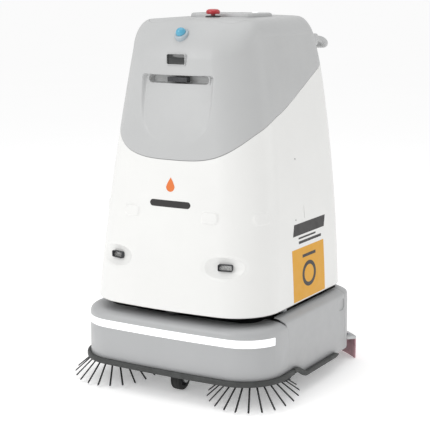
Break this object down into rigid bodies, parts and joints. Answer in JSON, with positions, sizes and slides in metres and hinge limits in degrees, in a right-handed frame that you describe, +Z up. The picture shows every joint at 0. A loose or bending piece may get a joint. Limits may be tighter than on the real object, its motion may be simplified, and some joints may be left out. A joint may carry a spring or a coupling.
{
  "type": "robotic floor scrubber",
  "caption": "Self-driving floor scrubber: tall tapered casing on a wide chassis, side brushes, scrub rollers, rear squeegee, lid, service door and push handle.",
  "frame": {"origin": "on the floor, under the middle of the bounding box", "axes": "+Z up, the machine drives towards -Y, +X is its own left side"},
  "size_m": [0.6562, 0.6976, 0.9822],
  "materials": {
    "white_casing": "satin moulded",
    "grey_casing": "satin painted moulding",
    "grey_cover": "satin painted moulding",
    "dark_plastic": "fine grained",
    "black_case": "matte",
    "rubber": "matte",
    "squeegee_rubber": "translucent polyurethane",
    "bristle": "stiff nylon",
    "roller_bristle": "nylon bristle",
    "dark_glass": "polished dark acrylic",
    "light_band": "opal diffuser",
    "beacon_blue": "clear tinted",
    "signal_red": "satin",
    "tank_plastic": "rotomoulded polyethylene",
    "zinc_steel": "zinc plated",
    "bright_steel": "ground"
  },
  "bodies": {
    "machine": {"body_shell": "white_casing", "head_shell": "grey_casing", "push_handle": "grey_casing", "console_bezel": "grey_casing", "front_cover": "grey_cover", "side_cover_left": "grey_cover", "side_cover_right": "grey_cover", "rear_cover": "grey_cover", "slot_camera": "dark_plastic", "estop_collar": "dark_plastic", "lidar": "dark_plastic", "charge_block": "dark_plastic", "suction_duct": "dark_plastic", "battery_pack": "black_case", "vacuum_motor": "black_case", "water_pump": "black_case", "side_brush_motor_left": "black_case", "side_brush_motor_right": "black_case", "drive_motor_left": "black_case", "drive_motor_right": "black_case", "front_bumper_strip": "rubber", "side_bumper_strip_left": "rubber", "side_bumper_strip_right": "rubber", "suction_riser": "rubber", "drain_plug": "rubber", "camera_window": "dark_glass", "low_window_left": "dark_glass", "low_window_right": "dark_glass", "touch_display": "dark_glass", "light_strip": "light_band", "beacon_base": "light_band", "beacon_dome": "beacon_blue", "solution_tank": "tank_plastic", "recovery_tank": "tank_plastic", "chassis_frame": "zinc_steel", "body_base": "zinc_steel", "lift_actuator": "zinc_steel", "squeegee_guides": "zinc_steel", "control_unit": "zinc_steel", "door_hinge_pin": "bright_steel", "lid_hinge_pin": "bright_steel"},
    "lid": {"lid": "grey_casing", "lid_latch": "dark_plastic"},
    "rear_door": {"rear_door": "white_casing", "door_latch": "dark_plastic"},
    "estop_button": {"estop_button": "signal_red"},
    "power_button": {"power_button": "light_band"},
    "side_brush_left": {"side_brush_bristles_left": "bristle", "side_brush_hub_left": "black_case"},
    "side_brush_right": {"side_brush_bristles_right": "bristle", "side_brush_hub_right": "black_case"},
    "caster_fork": {"caster_fork": "zinc_steel"},
    "caster_wheel": {"caster_wheel": "rubber"},
    "drive_wheel_left": {"drive_wheel_left": "rubber"},
    "drive_wheel_right": {"drive_wheel_right": "rubber"},
    "scrub_deck": {"scrub_housing": "dark_plastic"},
    "scrub_roller_front": {"scrub_roller_front": "roller_bristle"},
    "scrub_roller_rear": {"scrub_roller_rear": "roller_bristle"},
    "squeegee": {"squeegee_body": "zinc_steel", "squeegee_blade": "squeegee_rubber"}
  },
  "joints": [
    {"name": "lid_hinge", "type": "hinge", "parent": "machine", "child": "lid", "pos_m": [0, -0.1144, 0.95489], "axis": [-1, 0, 0], "range_deg": [0, 75]},
    {"name": "rear_door_hinge", "type": "hinge", "parent": "machine", "child": "rear_door", "pos_m": [-0.1468, 0.2202, 0.51], "axis": [0, 0, 1], "range_deg": [0, 110]},
    {"name": "estop_press", "type": "slide", "parent": "machine", "child": "estop_button", "axis": [0, 0, -1], "range_m": [0, 0.004], "stiffness_N_per_m": 1500},
    {"name": "power_press", "type": "slide", "parent": "machine", "child": "power_button", "axis": [0, 0, -1], "range_m": [0, 0.0015], "stiffness_N_per_m": 400},
    {"name": "side_brush_left_spin", "type": "hinge", "parent": "machine", "child": "side_brush_left", "pos_m": [0.2076, -0.2292, 0.0165], "axis": [0, -0.1219, 0.9925], "continuous": true},
    {"name": "side_brush_right_spin", "type": "hinge", "parent": "machine", "child": "side_brush_right", "pos_m": [-0.2076, -0.2292, 0.0165], "axis": [0, -0.1219, 0.9925], "continuous": true},
    {"name": "caster_swivel", "type": "hinge", "parent": "machine", "child": "caster_fork", "pos_m": [0, -0.2712, 0.1075], "axis": [0, 0, 1], "continuous": true},
    {"name": "caster_roll", "type": "hinge", "parent": "caster_fork", "child": "caster_wheel", "pos_m": [0, -0.2462, 0.031], "axis": [1, 0, 0], "continuous": true},
    {"name": "drive_left_roll", "type": "hinge", "parent": "machine", "child": "drive_wheel_left", "pos_m": [0.22, 0.1508, 0.0625], "axis": [1, 0, 0], "continuous": true},
    {"name": "drive_right_roll", "type": "hinge", "parent": "machine", "child": "drive_wheel_right", "pos_m": [-0.22, 0.1508, 0.0625], "axis": [1, 0, 0], "continuous": true},
    {"name": "scrub_deck_lift", "type": "slide", "parent": "machine", "child": "scrub_deck", "axis": [0, 0, 1], "range_m": [0, 0.028]},
    {"name": "roller_front_spin", "type": "hinge", "parent": "scrub_deck", "child": "scrub_roller_front", "pos_m": [0, -0.0572, 0.042], "axis": [1, 0, 0], "continuous": true},
    {"name": "roller_rear_spin", "type": "hinge", "parent": "scrub_deck", "child": "scrub_roller_rear", "pos_m": [0, 0.0348, 0.042], "axis": [1, 0, 0], "continuous": true},
    {"name": "squeegee_lift", "type": "slide", "parent": "machine", "child": "squeegee", "axis": [0, 0, 1], "range_m": [0, 0.032]}
  ],
  "couplings": [
    {"joint": "roller_rear_spin", "follows": "roller_front_spin", "ratio": -1}
  ]
}
